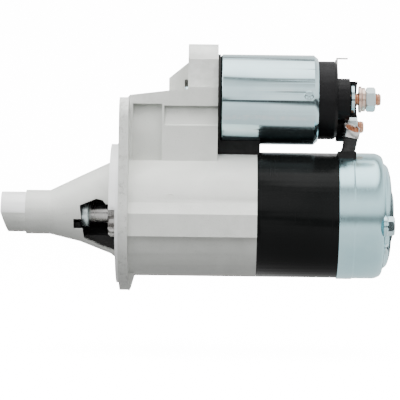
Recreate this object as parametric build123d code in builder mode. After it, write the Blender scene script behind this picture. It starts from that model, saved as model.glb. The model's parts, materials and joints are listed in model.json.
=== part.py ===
from build123d import *
from math import atan, cos, pi, radians, sin, sqrt, tan
import os

os.makedirs("parts", exist_ok=True)

# Starter motor with a planetary reduction gear, in millimetres.
# X runs along the drive shaft, from the nose (-X) to the rear cover (+X). Z points up to the solenoid.
# The origin is on the shaft's axis, at the flange's mounting face.

# places along the shaft's axis
nose_tip = -72.5
nose_land_end = -57.5
nose_neck_end = -43.0
nose_cavity_start = -24.5
spigot_front = -5.8
spigot_step = -2.0
flange_back = 5.6
yoke_start = 82.5
yoke_end = 131.5
cover_face = 158.4
cover_back = 166.0

# radii round the shaft's axis
nose_land_r = 12.2
nose_neck_r = 13.4
nose_cavity_r = 15.4
nose_bore_r = 7.2
clutch_space_r = 32.0
spigot_r = 42.5
spigot_lead_r = 42.0
flange_r = 47.0
barrel_r = 38.0
barrel_bore_r = 34.4
yoke_bore_r = 34.8
wall = 1.6

# flange ears, as (y, z)
upper_ear = (-31.0, 57.5)
lower_ear = (48.0, -24.0)
ear_r = 12.5
ear_hole_r = 5.25

# lever box and upper lug
box_back = 58.5
box_near = -20.0
box_far = 14.0
box_inside = 10.5
lug_front = 40.3
lug_z = 91.0
lug_r = 12.3
lug_hole_r = 4.25
lug_hole_depth = 16.0

# solenoid
solenoid_z = 70.0
can_front = 60.0
can_back = 119.0
can_r = 27.3
can_wall = 2.2
cap_r = 23.8
cap_end = 130.6
plunger_r = 10.0
plunger_front = 50.0
plunger_back = 88.0
hook_end = 60.0
core_end = 116.0
core_plate_start = 112.0
contact_front = 120.0
contact_rod_end = 130.2
contact_travel = 1.93
battery_post = (-9.0, 70.6)
motor_post = (5.0, 54.0)
stud_r = 4.0
stud_end = 156.8
stud_free_start = 153.4
stud_free_r = 3.8
lead_top = (138.8, -9.5, 47.5)
lead_line = (0.2, 0, 0.98)
lead_r = 4.6

# shift lever: its pivot, its arms and its tilt at rest
pivot_x = 47.0
pivot_z = 36.0
tip_arm = 31.0
fork_arm = 36.0
lever_tilt = 0.155
lever_tip_x = pivot_x - tip_arm * sin(lever_tilt)
fork_x = pivot_x + fork_arm * sin(lever_tilt)

# drive shaft, pinion and clutch
shaft_r = 6.0
running_gap = 0.05
pinion_front = -7.5
pinion_back = 9.0
pinion_tip_r = 14.6
pinion_root_r = 9.6
race_r = 10.4
race_end = 37.0
clutch_front = 22.0
clutch_back = 46.5
clutch_r = 20.0
sleeve_r = 11.0
sleeve_end = 57.2
groove_half = 2.7
groove_r = 17.0
collar_front = -24.0
collar_back = -19.2

# planetary gear
gear_module = 1.15
sun_teeth = 12
planet_teeth = 15
ring_teeth = 42
pressure_angle = radians(20)
planet_circle_r = gear_module * (sun_teeth + planet_teeth) / 2
planet_angles = (90, 210, 330)
gear_front = 66.0
gear_back = 77.0
bracket_front = 58.0
bracket_back = 62.0
bracket_bore_r = 10.5
carrier_front = 62.5
carrier_back = 65.5
plate_front = 79.0
planet_pin_r = 3.0

# armature and brushes
core_r = 25.0
core_front = 90.0
core_back = 124.0
commutator_r = 13.0
brush_x = 141.5
brush_size = (10.0, 8.0, 12.0)
brush_angles = (52, 142, 232, 322)
bolt_circle_r = 31.8
bolt_angle = 9.0
bolt_r = 2.5


def save(piece, name):
    piece.part.label = name
    export_step(piece.part, f"parts/{name}.step")


def rod(start, end, radius, y=0.0, z=0.0, mode=Mode.ADD):
    # a round bar along X
    with Locations((start, y, z)):
        Cylinder(radius, end - start, rotation=(0, 90, 0),
                 align=(Align.CENTER, Align.CENTER, Align.MIN), mode=mode)


def block(low, high, mode=Mode.ADD):
    # a box between two corners
    with Locations(low):
        Box(*[far - near for near, far in zip(low, high)], align=(Align.MIN,) * 3, mode=mode)


def side_slab(points, near, far, mode=Mode.ADD):
    # an outline of (x, z) points between two places on Y
    with BuildSketch(Plane.XZ.offset(-far)) as outline:
        with BuildLine():
            Polyline(*points, close=True)
        make_face()
    extrude(outline.sketch, amount=far - near, mode=mode)


def cross_slab(points, start, end, mode=Mode.ADD):
    # an outline of (y, z) points between two places on X
    with BuildSketch(Plane.YZ.offset(start)) as outline:
        with BuildLine():
            Polyline(*points, close=True)
        make_face()
    extrude(outline.sketch, amount=end - start, mode=mode)


def turned(points, y=0.0, z=0.0, mode=Mode.ADD):
    # an outline of (x, radius) points turned round an X axis
    with BuildSketch(Plane.XZ.offset(-y)) as outline:
        with BuildLine():
            Polyline(*[(x, radius + z) for x, radius in points], close=True)
        make_face()
    revolve(outline.sketch, axis=Axis((0, y, z), (1, 0, 0)), mode=mode)


def hexagon(start, end, across_flats, y=0.0, z=0.0):
    with BuildSketch(Plane.YZ.offset(start)) as outline:
        with Locations((y, z)):
            RegularPolygon(across_flats / 2, 6, major_radius=False)
    extrude(outline.sketch, amount=end - start)


def on_circle(radius, degrees):
    return radius * cos(radians(degrees)), radius * sin(radians(degrees))


def gear_outline(teeth, module, tip_r, root_r, fullness=1.0, turn=0.0):
    # points round a gear with involute flanks; fullness is the tooth's share of its nominal width
    base_r = teeth * module / 2 * cos(pressure_angle)

    def half_width(radius):
        slope = sqrt(max((radius / base_r) ** 2 - 1, 0))
        return fullness * pi / (2 * teeth) + tan(pressure_angle) - pressure_angle - slope + atan(slope)

    radii = [root_r + (tip_r - root_r) * step / 4 for step in range(5)]
    points = []
    for tooth in range(teeth):
        middle = radians(turn) + 2 * pi * tooth / teeth
        flank = [(radius, half_width(radius)) for radius in radii]
        points += [(r * cos(middle - w), r * sin(middle - w)) for r, w in flank]
        points += [(r * cos(middle + w), r * sin(middle + w)) for r, w in reversed(flank)]
    return points


def coil_spring(start, length, radius, wire_r, turns, direction=(1, 0, 0)):
    with BuildLine() as path:
        Helix(length / turns, length, radius, center=start, direction=direction)
    with BuildSketch(Plane(origin=path.line @ 0, z_dir=path.line % 0)) as section:
        Circle(wire_r)
    sweep(section.sketch, path=path.line)


def nose_section(x, near, far, top, bottom):
    # a tall oval, flatter on the side where the ring gear passes
    middle = (top + bottom) / 2
    half = (top - bottom) / 2
    with BuildSketch(Plane.YZ.offset(x)) as section:
        with BuildLine():
            EllipticalCenterArc((0, middle), near, half, start_angle=90, arc_size=180)
            EllipticalCenterArc((0, middle), far, half, start_angle=270, arc_size=180)
        make_face()
    return section.sketch


bolt_places = [on_circle(bolt_circle_r, 180 + bolt_angle), on_circle(bolt_circle_r, bolt_angle)]
screw_places = [(-24.0, -18.0), (24.0, 18.0)]
solenoid_screw_places = [(19.8, 73.6), (12.0, 54.2)]

# ---- castings and covers ----

with BuildPart() as drive_housing:
    with BuildSketch(Plane.YZ) as flange_outline:
        Circle(flange_r)
        with Locations(upper_ear, lower_ear):
            Circle(ear_r)
        make_hull()
    extrude(flange_outline.sketch, amount=flange_back)
    rod(spigot_step, 0, spigot_r)
    rod(spigot_front, spigot_step, spigot_lead_r)
    block((spigot_front, -spigot_r, -spigot_r), (spigot_step, spigot_r, 3.0), Mode.SUBTRACT)
    rod(flange_back, yoke_start, barrel_r)
    # nose: machined land, neck and the flared body
    rod(nose_tip, nose_land_end, nose_land_r)
    side_slab([(nose_tip, 0), (nose_tip + 4.5, -nose_land_r - 1), (nose_tip, -nose_land_r - 1)],
              -15, 15, Mode.SUBTRACT)
    rod(nose_land_end, nose_neck_end, nose_neck_r)
    loft([nose_section(nose_neck_end, nose_neck_r, nose_neck_r, nose_neck_r, -nose_neck_r),
          nose_section(nose_cavity_start, 17.0, 18.0, 22.4, -17.8),
          nose_section(spigot_front, 18.0, 22.5, 31.2, -25.0)], ruled=True)
    loft([nose_section(spigot_front, 18.0, 22.5, 31.2, -25.0),
          nose_section(flange_back, 19.0, 26.0, 34.0, -34.0)], ruled=True)
    # lever box with the roof rising to the rear
    side_slab([(flange_back - 2, 20), (flange_back - 2, 69.5), (flange_back, 71.7), (30, 74.7),
               (box_back, 76.8), (box_back, 20)], box_near, box_far)
    side_slab([(flange_back, 20), (flange_back, 50), (box_back, 50), (box_back, 20)], box_far, 20)
    # upper lug, its web, the far-side solenoid pad and the gusset
    rod(lug_front, box_back, lug_r, 0, lug_z)
    block((lug_front, -lug_r, 70), (box_back, lug_r, lug_z))
    rod(lug_front, box_back, can_r - 0.3, 0, solenoid_z)
    block((lug_front - 1, -can_r - 1, 40), (box_back + 1, box_near, 100), Mode.SUBTRACT)
    side_slab([(lug_front, 40), (lug_front, 76), (box_back, 76), (box_back, 40)], box_near, box_far)
    block((lug_front - 1, -can_r - 1, 76.8), (box_back + 1, -lug_r, 110), Mode.SUBTRACT)
    side_slab([(lug_front, 92.4), (28.4, 82.6), (28.4, 70), (lug_front, 70)], 4, 10)
    # bottom foot behind the flange
    side_slab([(flange_back, -46.6), (flange_back + 0.6, -46.6), (flange_back + 3.4, -37),
               (flange_back + 3.4, -34), (flange_back, -34)], -12, 12)
    # raised channels for the through bolts, one each side
    for side in (1, -1):
        cross_slab([(side * y, side * z) for y, z in
                    [(-34, 7.4), (-37.6, 7.4), (-41.2, 1), (-41.2, -12.4), (-34, -12.4)]],
                   flange_back, yoke_start)
    # recessed bay behind the flange: a bowed floor below the rail
    with BuildSketch(Plane.YZ.offset(7.4)) as bay:
        with BuildLine():
            ThreePointArc((-13.8, 66.5), (-16.6, 50), (-14.2, 32.5))
            Polyline((-14.2, 32.5), (-26, 32.5), (-26, 66.5), (-13.8, 66.5))
        make_face()
    extrude(bay.sketch, amount=17.6, mode=Mode.SUBTRACT)
    # cove under the rail
    cross_slab([(-21, 65.5), (-15.6, 65.5), (-18.4, 54.4), (-19.4, 53.6), (-21, 53.6)],
               26.2, box_back + 1, Mode.SUBTRACT)
    # hollows: nose bore, pinion space, clutch space, gear space
    rod(nose_tip + 4, nose_neck_end - 1, 8.0, mode=Mode.SUBTRACT)
    rod(nose_neck_end - 1, nose_cavity_start, nose_bore_r, mode=Mode.SUBTRACT)
    rod(nose_cavity_start, 7, nose_cavity_r, mode=Mode.SUBTRACT)
    rod(4, 20, clutch_space_r, mode=Mode.SUBTRACT)
    rod(20, yoke_start, barrel_bore_r, mode=Mode.SUBTRACT)
    side_slab([(12, 20), (12, 62), (36, 71.8), (54.5, 71.8), (54.5, 20)],
              -box_inside, box_inside, Mode.SUBTRACT)
    rod(38, box_back, 12.5, 0, solenoid_z, Mode.SUBTRACT)
    block((54, -9, 34.5), (box_back, 9, 42.4), Mode.SUBTRACT)
    # inner bosses that the through bolts screw into
    for y, z in bolt_places:
        rod(40, 57.5, 5.4, y, z)
        rod(42, 57.5, bolt_r, y, z, Mode.SUBTRACT)
    # window that lets the ring gear reach the pinion, and the slot beside it
    side_slab([(-24.2, 4.8), (-14.2, 8.8), (-10.2, 7.9), (-8.4, 5.5), (spigot_step, 5.5),
               (spigot_step, -23.2), (-10.2, -20.6), (-21.8, -15.4)], -30, 6, Mode.SUBTRACT)
    block((-28, -30, -9.2), (-22.4, -4, -3.6), Mode.SUBTRACT)
    # holes: ears, lug, pivot pin and solenoid screws
    for y, z in (upper_ear, lower_ear):
        rod(-1, flange_back + 1, ear_hole_r, y, z, Mode.SUBTRACT)
    rod(lug_front, lug_front + lug_hole_depth, lug_hole_r, 0, lug_z, Mode.SUBTRACT)
    with Locations((pivot_x, 0, pivot_z)):
        Cylinder(3, 27, rotation=(90, 0, 0), mode=Mode.SUBTRACT)
    for y, z in solenoid_screw_places:
        rod(lug_front - 1, box_back, 2.5, y, z, Mode.SUBTRACT)
        rod(lug_front - 8, lug_front, 5.6, y, z, Mode.SUBTRACT)
save(drive_housing, "drive_housing")

with BuildPart() as shaft_bushes:
    for start, end, outer_r, journal_r in ((nose_tip + 4, nose_neck_end - 1, 8.0, shaft_r),
                                           (bracket_front, bracket_back, bracket_bore_r, 8.0)):
        rod(start, end, outer_r)
        rod(start, end, journal_r + running_gap, mode=Mode.SUBTRACT)
save(shaft_bushes, "shaft_bushes")

with BuildPart() as yoke_tube:
    rod(yoke_start, yoke_end, barrel_r)
    rod(yoke_start, yoke_end, yoke_bore_r, mode=Mode.SUBTRACT)
save(yoke_tube, "yoke_tube")

with BuildPart() as rear_cover:
    outer = [(yoke_end, 38.7), (140.6, 38.7), (141.2, 38.3), (154.0, 38.3), (156.4, 37.4),
             (157.9, 35.8), (cover_face, 34.2), (159.2, 32.4), (161.6, 30.2), (163.0, 27.2),
             (163.6, 24.0), (164.0, 17.4), (165.3, 13.6), (165.9, 10.0), (cover_back, 0)]
    turned(outer + [(yoke_end, 0)])
    inner = [(x - wall, max(r - wall, 0)) for x, r in outer[3:]]
    turned([(yoke_end, 36.9), (152.0, 36.9)] + inner + [(yoke_end, 0)], mode=Mode.SUBTRACT)
    # seat of the rear bearing, in the dome
    rod(152.5, 163.6, 13.2)
    rod(152.5, 162.0, 11.0, mode=Mode.SUBTRACT)
    for y, z in bolt_places:
        rod(yoke_end, cover_back, bolt_r + 0.3, y, z, Mode.SUBTRACT)
        rod(159.3, cover_back, 6.6, y, z, Mode.SUBTRACT)
    for y, z in screw_places:
        rod(yoke_end, cover_back, 2.1, y, z, Mode.SUBTRACT)
        rod(159.3, cover_back, 4.8, y, z, Mode.SUBTRACT)
    # notch in the rim for the lead's grommet
    block((yoke_end, -16.4, 32.5), (142.2, -2.6, 42), Mode.SUBTRACT)
save(rear_cover, "rear_cover")

with BuildPart() as through_bolts:
    for y, z in bolt_places:
        rod(42.4, 159.3, bolt_r, y, z)
        rod(159.3, 160.5, 6.2, y, z)
        hexagon(160.5, 164.6, 10, y, z)
save(through_bolts, "through_bolts")

with BuildPart() as cover_screws:
    for y, z in screw_places:
        rod(133.0, 159.3, 2.0, y, z)
        turned([(159.3, 0), (159.3, 4.5), (160.4, 4.3), (161.5, 2.8), (161.8, 0)], y, z)
        block((160.6, y - 2, z - 0.4), (162, y + 2, z + 0.4), Mode.SUBTRACT)
        block((160.6, y - 0.4, z - 2), (162, y + 0.4, z + 2), Mode.SUBTRACT)
save(cover_screws, "cover_screws")

# ---- planetary gear ----

with BuildPart() as centre_bracket:
    rod(bracket_front, bracket_back, barrel_bore_r - 0.1)
    rod(bracket_back, plate_front, 29.3)
    rod(bracket_back, plate_front, 28.3, mode=Mode.SUBTRACT)
    rod(bracket_front, bracket_back, bracket_bore_r, mode=Mode.SUBTRACT)
    for y, z in bolt_places:
        rod(bracket_front, plate_front, bolt_r + 0.1, y, z, Mode.SUBTRACT)
save(centre_bracket, "centre_bracket")

with BuildPart() as ring_gear:
    ring_pitch_r = gear_module * ring_teeth / 2
    rod(62.4, 78.4, 28.2)
    cross_slab(gear_outline(ring_teeth, gear_module, ring_pitch_r + 1.45, ring_pitch_r - 0.95,
                            1.16, 180 / ring_teeth), 62.4, 78.4, Mode.SUBTRACT)
save(ring_gear, "ring_gear")

for index, degrees in enumerate(planet_angles, start=1):
    planet_pitch_r = gear_module * planet_teeth / 2
    phase = 0.5 - degrees * sun_teeth / 360
    spin = degrees + 180 - phase * 360 / planet_teeth
    centre_y, centre_z = on_circle(planet_circle_r, degrees)
    with BuildPart() as planet_gear:
        outline = gear_outline(planet_teeth, gear_module, planet_pitch_r + 1.05,
                               planet_pitch_r - 1.4, 0.88, spin)
        cross_slab([(y + centre_y, z + centre_z) for y, z in outline], gear_front, gear_back)
        rod(gear_front, gear_back, planet_pin_r + running_gap, centre_y, centre_z, Mode.SUBTRACT)
    save(planet_gear, f"planet_gear_{index}")

with BuildPart() as planet_pins:
    for degrees in planet_angles:
        rod(carrier_front, 77.6, planet_pin_r, *on_circle(planet_circle_r, degrees))
save(planet_pins, "planet_pins")

# ---- drive shaft, pinion and clutch ----

with BuildPart() as drive_shaft:
    rod(nose_tip + 6, 21, shaft_r)
    rod(21, bracket_front, 6.8)
    for degrees in range(0, 360, 60):
        y, z = on_circle(6.9, degrees)
        with Locations(Plane(origin=(21, y, z), x_dir=(1, 0, 0),
                             z_dir=(0, cos(radians(degrees)), sin(radians(degrees))))):
            Box(36.5, 2.4, 2.0, align=(Align.MIN, Align.CENTER, Align.CENTER))
    rod(bracket_front, carrier_front, 8)
    rod(carrier_front, carrier_back, 21)
    rod(59, carrier_back, 4 + running_gap, mode=Mode.SUBTRACT)
    rod(-22.6, -21.0, 7, mode=Mode.SUBTRACT)
    rod(-22.6, -21.0, 5.2)
    for degrees in planet_angles:
        rod(carrier_front, carrier_back, planet_pin_r, *on_circle(planet_circle_r, degrees), Mode.SUBTRACT)
save(drive_shaft, "drive_shaft")

with BuildPart() as snap_ring:
    rod(-22.5, -21.1, 6.9)
    rod(-22.5, -21.1, 5.25, mode=Mode.SUBTRACT)
    block((-23, -1.2, 0), (-20, 1.2, 8), Mode.SUBTRACT)
save(snap_ring, "snap_ring")

with BuildPart() as stop_collar:
    turned([(collar_front, 0), (collar_front, 7.9), (collar_front + 0.5, 8.5),
            (collar_back - 0.5, 8.5), (collar_back, 7.9), (collar_back, 0)])
    rod(collar_front, collar_back, shaft_r + 0.02, mode=Mode.SUBTRACT)
    rod(collar_front, -20.9, 7.0, mode=Mode.SUBTRACT)
save(stop_collar, "stop_collar")

with BuildPart() as pinion_gear:
    cross_slab(gear_outline(10, 2.54, pinion_tip_r, pinion_root_r, 1.0, 18), pinion_front, pinion_back)
    turned([(pinion_front, 17), (pinion_front, 13.2), (pinion_front + 1.6, 14.8),
            (pinion_front + 1.6, 17)], mode=Mode.SUBTRACT)
    rod(pinion_back, race_end, race_r)
    rod(pinion_front, 20.4, shaft_r + 0.06, mode=Mode.SUBTRACT)
    rod(20.4, race_end, 8.4, mode=Mode.SUBTRACT)
save(pinion_gear, "pinion_gear")

with BuildPart() as clutch_shell:
    rod(clutch_front, clutch_back, clutch_r)
    rod(clutch_front, clutch_front + 1.2, race_r + 0.3, mode=Mode.SUBTRACT)
    rod(clutch_front + 1.2, race_end + 1, 15.9, mode=Mode.SUBTRACT)
    rod(clutch_back, sleeve_end, sleeve_r)
    rod(fork_x - groove_half - 1.5, fork_x - groove_half, groove_r)
    rod(race_end + 1, sleeve_end, 6.9, mode=Mode.SUBTRACT)
    for degrees in range(0, 360, 60):
        y, z = on_circle(6.9, degrees)
        with Locations(Plane(origin=(race_end, y, z), x_dir=(1, 0, 0),
                             z_dir=(0, cos(radians(degrees)), sin(radians(degrees))))):
            Box(25, 2.6, 2.4, align=(Align.MIN, Align.CENTER, Align.CENTER), mode=Mode.SUBTRACT)
save(clutch_shell, "clutch_shell")

with BuildPart() as shift_collar:
    rod(fork_x + groove_half, sleeve_end - 0.4, groove_r)
    rod(fork_x + groove_half, sleeve_end - 0.4, sleeve_r, mode=Mode.SUBTRACT)
save(shift_collar, "shift_collar")

with BuildPart() as clutch_rollers:
    for degrees in range(0, 360, 72):
        rod(24, 36, 2.6, *on_circle(13.1, degrees + 10))
save(clutch_rollers, "clutch_rollers")

# ---- shift lever and its pin ----

lever_plane = Plane(origin=(pivot_x, 0, pivot_z), x_dir=(cos(lever_tilt), 0, sin(lever_tilt)),
                    z_dir=(0, -1, 0))

with BuildPart() as shift_lever:
    with BuildSketch(lever_plane) as stem:
        with BuildLine():
            Polyline((-1.5, tip_arm), (-1.5, 25), (-4, 10), (-4, -12), (4, -12), (4, 10),
                     (1.5, 25), (1.5, tip_arm), close=True)
        make_face()
        Circle(6.5)
        with Locations((0, tip_arm)):
            Circle(2.2)
    extrude(stem.sketch, amount=4.5, both=True)
    with BuildSketch(lever_plane) as bridge:
        with Locations((0, -12.8)):
            Rectangle(8, 3.4)
    extrude(bridge.sketch, amount=20.6, both=True)
    for side in (1, -1):
        with BuildSketch(lever_plane.offset(side * 17.6)) as arm:
            with BuildLine():
                Polyline((-3, -12), (3, -12), (2.6, -fork_arm), (-2.6, -fork_arm), close=True)
            make_face()
            with Locations((0, -fork_arm)):
                Circle(2.6)
        extrude(arm.sketch, amount=side * 3)
        with BuildSketch(lever_plane.offset(side * 11.6)) as pad:
            with Locations((0, -fork_arm)):
                Circle(2.4)
        extrude(pad.sketch, amount=side * 6)
    with Locations((pivot_x, 0, pivot_z)):
        Cylinder(3 + running_gap, 30, rotation=(90, 0, 0), mode=Mode.SUBTRACT)
save(shift_lever, "shift_lever")

with BuildPart() as lever_pivot_pin:
    with Locations((pivot_x, 0, pivot_z)):
        Cylinder(3, 27, rotation=(90, 0, 0))
save(lever_pivot_pin, "lever_pivot_pin")

with BuildPart() as lever_packing:
    block((54.6, -8.9, 34.6), (box_back, 8.9, 42.3))
    block((box_back, -11, 34), (84.2, 11, 45.6))
    rod(box_back, 85, can_r + 0.05, 0, solenoid_z, Mode.SUBTRACT)
    rod(box_back, 85, barrel_r + 0.05, mode=Mode.SUBTRACT)
save(lever_packing, "lever_packing")

# ---- solenoid ----

with BuildPart() as solenoid_gasket:
    rod(box_back, can_front, can_r, 0, solenoid_z)
    rod(box_back, can_front, 12.5, 0, solenoid_z, Mode.SUBTRACT)
    for y, z in solenoid_screw_places:
        rod(box_back, can_front, 2.5, y, z, Mode.SUBTRACT)
save(solenoid_gasket, "solenoid_gasket")

with BuildPart() as solenoid_can:
    turned([(can_front, 0), (can_front, can_r - 1.2), (can_front + 1.2, can_r),
            (can_back - 2.6, can_r), (can_back, can_r - 2.2), (can_back, 0)], 0, solenoid_z)
    rod(can_front + 2.5, core_end, can_r - can_wall, 0, solenoid_z, Mode.SUBTRACT)
    rod(core_end, can_back, cap_r, 0, solenoid_z, Mode.SUBTRACT)
    rod(can_front, can_front + 2.5, plunger_r + 0.4, 0, solenoid_z, Mode.SUBTRACT)
    for y, z in solenoid_screw_places:
        rod(can_front, can_front + 2.5, 2.5, y, z, Mode.SUBTRACT)
    # round stakes that hold the core plate
    for side in (1, -1):
        with Locations((112.9, side * can_r, solenoid_z + 2)):
            Cylinder(2.4, 1.4, rotation=(90, 0, 0), mode=Mode.SUBTRACT)
save(solenoid_can, "solenoid_can")

with BuildPart() as solenoid_screws:
    for y, z in solenoid_screw_places:
        rod(lug_front, 63.5, 2.5, y, z)
        turned([(lug_front, 0), (lug_front, 4.9), (lug_front - 1.8, 4.7), (lug_front - 3.4, 3.0),
                (lug_front - 3.7, 0)], y, z)
        block((lug_front - 4, y - 2.2, z - 0.45), (lug_front - 2.2, y + 2.2, z + 0.45), Mode.SUBTRACT)
        block((lug_front - 4, y - 0.45, z - 2.2), (lug_front - 2.2, y + 0.45, z + 2.2), Mode.SUBTRACT)
save(solenoid_screws, "solenoid_screws")

with BuildPart() as coil_bobbin:
    rod(62.6, 111.8, 12.0, 0, solenoid_z)
    for start in (62.6, 109.8):
        rod(start, start + 2, 24.0, 0, solenoid_z)
    rod(62.6, 111.8, plunger_r + 0.3, 0, solenoid_z, Mode.SUBTRACT)
    for y, z in solenoid_screw_places:
        rod(62, 65, 2.8, y, z, Mode.SUBTRACT)
save(coil_bobbin, "coil_bobbin")

with BuildPart() as solenoid_coil:
    rod(64.8, 109.6, 23.4, 0, solenoid_z)
    rod(64.8, 109.6, 12.1, 0, solenoid_z, Mode.SUBTRACT)
save(solenoid_coil, "solenoid_coil")

with BuildPart() as fixed_core:
    rod(core_plate_start, core_end, can_r - can_wall, 0, solenoid_z)
    rod(98, core_plate_start, plunger_r - 0.1, 0, solenoid_z)
    rod(98, core_end, 2.6 + running_gap, 0, solenoid_z, Mode.SUBTRACT)
save(fixed_core, "fixed_core")

with BuildPart() as plunger:
    rod(plunger_front, plunger_back, plunger_r, 0, solenoid_z)
    rod(74, plunger_back, 6.6, 0, solenoid_z, Mode.SUBTRACT)
    rod(plunger_front, hook_end, 3, 0, solenoid_z - 2, Mode.SUBTRACT)
save(plunger, "plunger")

with BuildPart() as plunger_hook:
    rod(plunger_front, hook_end, 3, 0, solenoid_z - 2)
    block((lever_tip_x - 5, -3, 62), (plunger_front, 3, 71.2))
    block((lever_tip_x - 2.5, -3, 61), (lever_tip_x + 2.5, 3, 69.3), Mode.SUBTRACT)
save(plunger_hook, "plunger_hook")

with BuildPart() as return_spring:
    coil_spring((75.0, 0, solenoid_z), 22.0, 5.0, 0.6, 6)
save(return_spring, "return_spring")

with BuildPart() as contact_rod:
    rod(82.0, contact_rod_end, 2.6, 0, solenoid_z)
    rod(contact_front - 1, contact_front, 4.4, 0, solenoid_z)
save(contact_rod, "contact_rod")

with BuildPart() as contact_disc:
    rod(contact_front, 122.4, 15.0, 0, solenoid_z)
    rod(contact_front, 122.4, 2.6, 0, solenoid_z, Mode.SUBTRACT)
save(contact_disc, "contact_disc")

with BuildPart() as contact_spring:
    coil_spring((123.1, 0, solenoid_z), 4.2, 3.3, 0.4, 2.5)
save(contact_spring, "contact_spring")

with BuildPart() as solenoid_cap:
    turned([(core_end, 0), (core_end, cap_r), (cap_end - 1.8, cap_r), (cap_end, cap_r - 1.8), (cap_end, 0)],
           0, solenoid_z)
    rod(core_end, 128, cap_r - 2.4, 0, solenoid_z, Mode.SUBTRACT)
    rod(cap_end, 137.9, 12.6, *battery_post)
    rod(cap_end, 135.6, 9.0, *motor_post)
    # low wall round the far side of the battery post
    rod(137.9, 142.7, 10.9, *battery_post)
    rod(137.9, 142.7, 9.3, *battery_post, Mode.SUBTRACT)
    block((137.9, -22, 50), (143, battery_post[0] - 1, 92), Mode.SUBTRACT)
    for y, z in (battery_post, motor_post):
        rod(126.6, 143, stud_r, y, z, Mode.SUBTRACT)
        rod(124.0, 128.2, 5.0, y, z, Mode.SUBTRACT)
    rod(126, contact_rod_end + contact_travel + 0.5, 2.6 + 0.1, 0, solenoid_z, Mode.SUBTRACT)
    block((129.4, -3.2, 87.0), (131, 3.2, 94.6), Mode.SUBTRACT)
save(solenoid_cap, "solenoid_cap")

with BuildPart() as terminal_studs:
    for post, end in ((battery_post, stud_free_start), (motor_post, 147.5)):
        rod(124.6, 128.2, 5.0, *post)
        rod(128.2, end, stud_r, *post)
    rod(stud_free_start, stud_end, stud_free_r, *battery_post)
save(terminal_studs, "terminal_studs")

with BuildPart() as post_washers:
    rod(138.7, 140.8, 9.0, *battery_post)
    rod(138.7, 140.8, stud_r, *battery_post, Mode.SUBTRACT)
    rod(143.4, 145.0, 8.0, *battery_post)
    rod(143.4, 145.0, stud_r, *battery_post, Mode.SUBTRACT)
save(post_washers, "post_washers")

with BuildPart() as spring_washer:
    rod(145.2, 147.4, 7.2, *battery_post)
    rod(145.2, 147.4, stud_r, *battery_post, Mode.SUBTRACT)
    post_y, post_z = battery_post
    block((145, post_y - 0.6, post_z + 3.5), (147.6, post_y + 0.6, post_z + 8), Mode.SUBTRACT)
save(spring_washer, "spring_washer")

with BuildPart() as terminal_nuts:
    for start, post in ((147.8, battery_post), (138.0, motor_post)):
        hexagon(start, start + 5.6, 13, *post)
        rod(start, start + 5.6, stud_r, *post, Mode.SUBTRACT)
save(terminal_nuts, "terminal_nuts")

with BuildPart() as signal_terminal:
    block((129.4, -3.15, 87.0), (130.9, 3.15, 94.6))
    block((130.1, -3.15, 94.6), (130.9, 3.15, 95.9))
    block((130.1, -3.15, 95.1), (137.0, 3.15, 95.9))
save(signal_terminal, "signal_terminal")

with BuildPart() as lead_lug:
    rod(135.6, 138.0, 8.0, *motor_post)
    block((135.6, -8.0, 50.5), (138.0, -2.0, 57.5))
    rod(135.6, 138.0, stud_r, *motor_post, Mode.SUBTRACT)
    with Locations(Plane(origin=lead_top, x_dir=(0, 1, 0), z_dir=lead_line)):
        Cylinder(5.6, 8.5, align=(Align.CENTER, Align.CENTER, Align.MIN))
        Cylinder(4.3, 9.6, align=(Align.CENTER, Align.CENTER, Align.MIN), mode=Mode.SUBTRACT)
save(lead_lug, "lead_lug")

with BuildPart() as lead_strands:
    with Locations(Plane(origin=lead_top, x_dir=(0, 1, 0), z_dir=lead_line)):
        Cylinder(4.3, 9.3, align=(Align.CENTER, Align.CENTER, Align.MIN))
save(lead_strands, "lead_strands")

with BuildPart() as field_lead:
    with Locations(Plane(origin=lead_top, x_dir=(0, 1, 0), z_dir=lead_line)):
        Cylinder(lead_r, 12.5, align=(Align.CENTER, Align.CENTER, Align.MAX))
save(field_lead, "field_lead")

with BuildPart() as lead_grommet:
    block((yoke_end, -16.4, 34.8), (142.2, -2.6, 39.2))
    with Locations(Plane(origin=lead_top, x_dir=(0, 1, 0), z_dir=lead_line)):
        Cylinder(lead_r, 30, align=(Align.CENTER, Align.CENTER, Align.MAX), mode=Mode.SUBTRACT)
save(lead_grommet, "lead_grommet")

# ---- armature ----

with BuildPart() as armature_shaft:
    rod(59.6, 65.8, 4)
    cross_slab(gear_outline(sun_teeth, gear_module, gear_module * sun_teeth / 2 + 1.05,
                            gear_module * sun_teeth / 2 - 1.4, 0.88), 65.8, 77.6)
    rod(77.6, 148.5, shaft_r)
    rod(148.5, 159.6, 4)
save(armature_shaft, "armature_shaft")

with BuildPart() as armature_core:
    rod(core_front, core_back, core_r)
    rod(core_front, core_back, shaft_r, mode=Mode.SUBTRACT)
    for degrees in range(0, 360, 20):
        with Locations(Plane(origin=(core_front, 0, 0), x_dir=(1, 0, 0),
                             z_dir=(0, cos(radians(degrees)), sin(radians(degrees))))):
            with Locations((0, 0, core_r - 7.5)):
                Box(core_back - core_front, 2.6, 8, align=(Align.MIN, Align.CENTER, Align.MIN),
                    mode=Mode.SUBTRACT)
save(armature_core, "armature_core")

with BuildPart() as armature_winding:
    turned([(85.0, 10), (84.4, 13), (84.8, 19), (86.5, 22.5), (core_front, 23.5), (core_front, 10)])
    turned([(core_back, 10), (core_back, 23.5), (128.0, 22.0), (131.0, 17), (132.6, 12.5), (132.6, 10)])
    rod(core_front - 6, core_back + 9, shaft_r, mode=Mode.SUBTRACT)
save(armature_winding, "armature_winding")

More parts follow.
